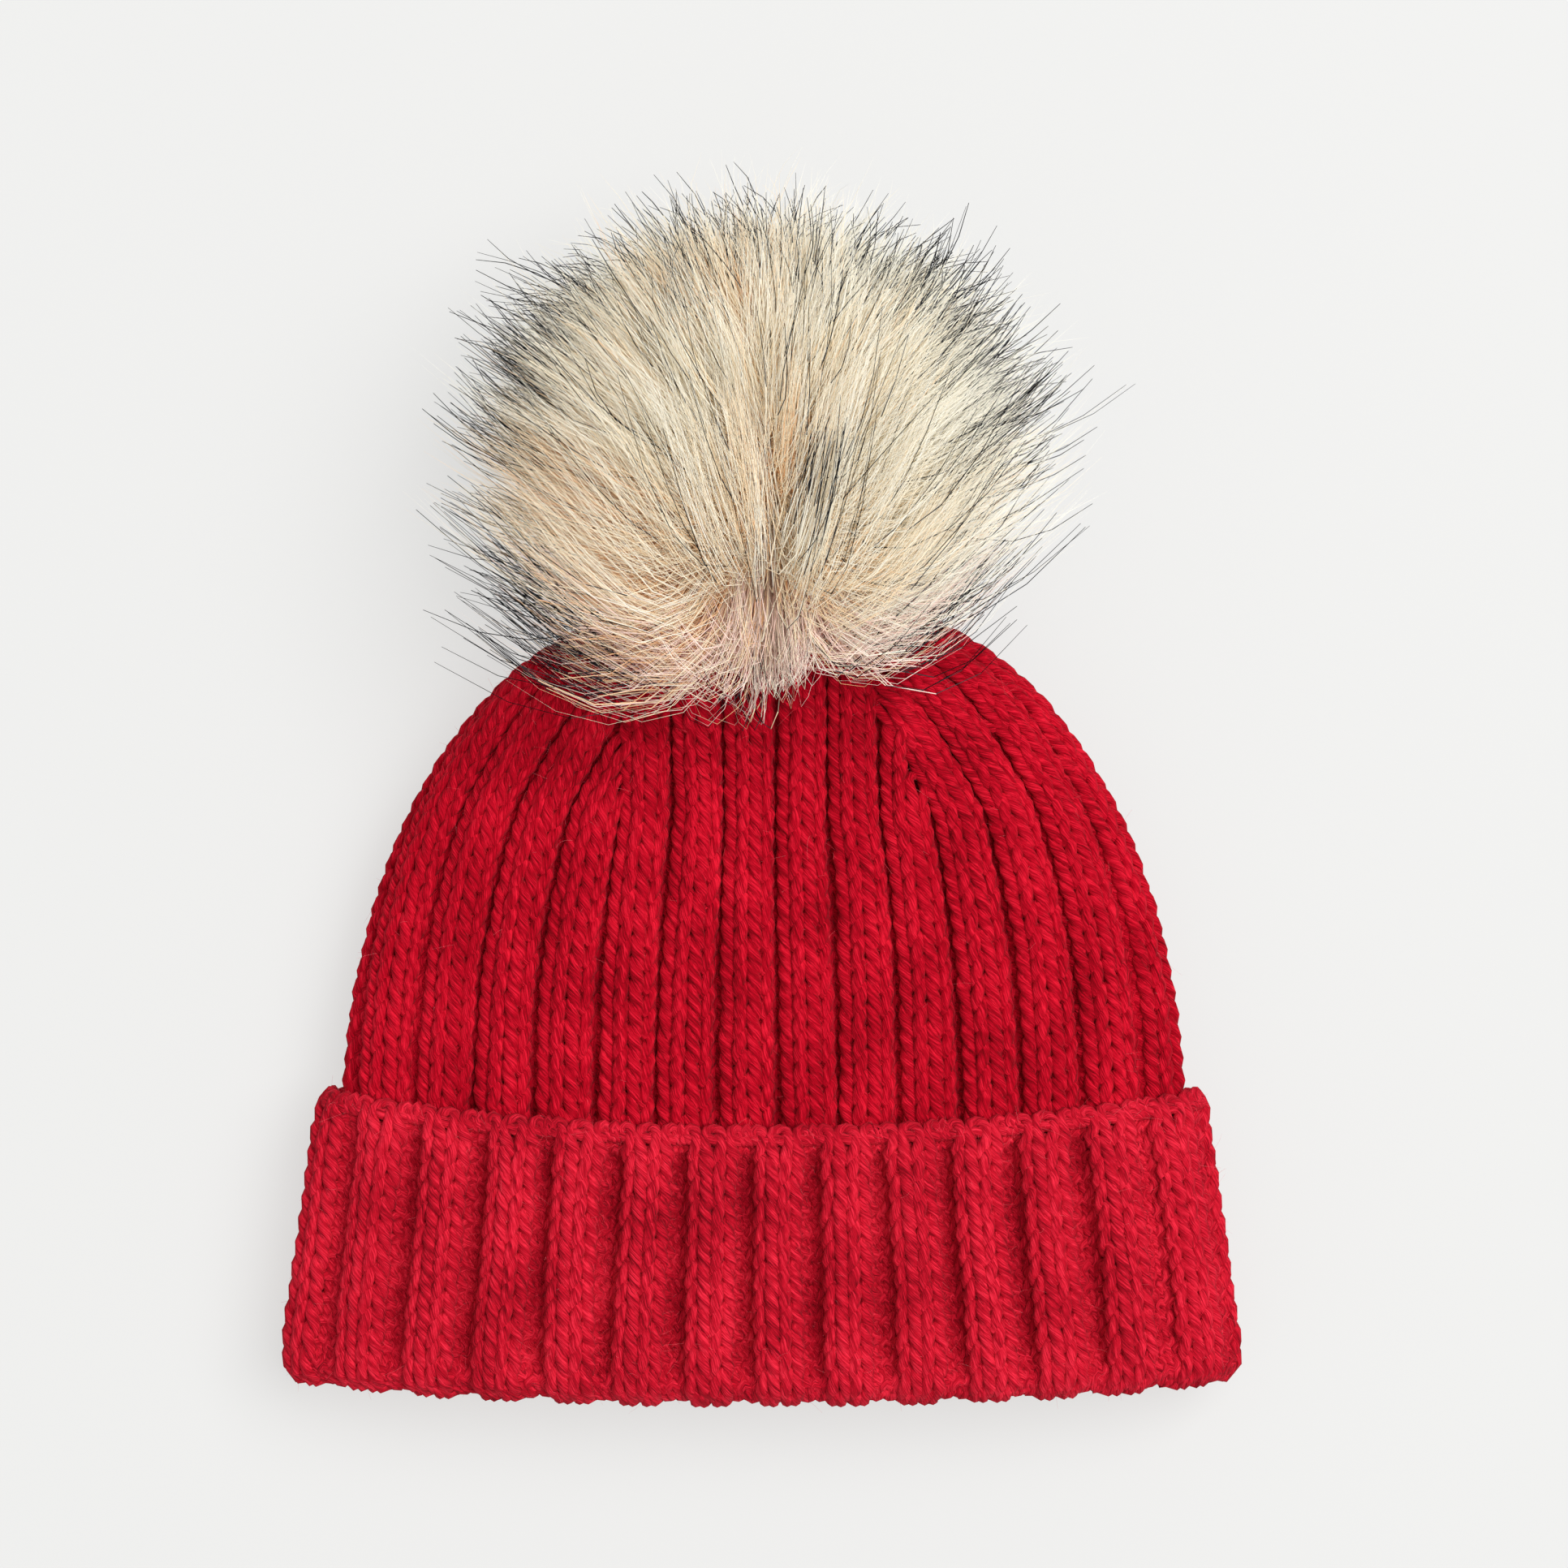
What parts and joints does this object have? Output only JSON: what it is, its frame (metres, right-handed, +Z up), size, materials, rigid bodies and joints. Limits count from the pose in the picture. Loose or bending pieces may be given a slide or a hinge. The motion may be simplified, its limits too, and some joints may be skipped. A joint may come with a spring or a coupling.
{
  "type": "pom pom beanie",
  "caption": "Rib-knit beanie with a turned-up cuff, lying flat, with a large detachable faux-fur pom on its crown tip.",
  "frame": {"origin": "on the surface the hat lies on, under the middle of the whole object in plan", "axes": "+Z up from the surface, +Y from the mouth of the hat towards the pom, +X across the hat"},
  "size_m": [0.2238, 0.2899, 0.111],
  "materials": {
    "red_knit": "fuzzy plied wool-blend yarn, matte",
    "faux_fur": "long soft cream pile with peach patches and black tips",
    "fur_backing": "knitted backing cloth, matte",
    "white_thread": "spun polyester thread and fibre, matte",
    "label_satin": "satin ribbon, soft sheen",
    "stud_steel": "nickel-plated pressed steel"
  },
  "bodies": {
    "hat": {"knit_body": "red_knit", "knit_crown": "red_knit", "turn_up_cuff": "red_knit", "back_seam": "red_knit", "care_label": "label_satin", "label_stitches": "white_thread"},
    "crown_tip": {"gather_yarn": "red_knit"},
    "stud_socket": {"snap_socket": "stud_steel", "socket_stitches": "white_thread"},
    "socket_spring": {"snap_spring": "stud_steel"},
    "pom": {"snap_stud": "stud_steel", "stud_stitches": "white_thread", "pom_base_disc": "fur_backing", "pom_gather_thread": "white_thread", "pom_backing": "fur_backing", "pom_stuffing": "white_thread", "pom_fur": "faux_fur"}
  },
  "joints": [
    {"name": "pom_nod", "type": "hinge", "parent": "hat", "child": "crown_tip", "pos_m": [0, 0.04705, 0.041], "axis": [1, 0, 0], "range_deg": [0, 30]},
    {"name": "pom_swing", "type": "hinge", "parent": "crown_tip", "child": "stud_socket", "pos_m": [0, 0.04705, 0.041], "axis": [0, 0, 1], "range_deg": [-20, 20]},
    {"name": "pom_spin", "type": "hinge", "parent": "stud_socket", "child": "socket_spring", "pos_m": [0, 0.04705, 0.041], "axis": [0, 1, 0], "continuous": true},
    {"name": "pom_unsnap", "type": "slide", "parent": "socket_spring", "child": "pom", "axis": [0, 1, 0], "range_m": [0, 0.04]}
  ]
}
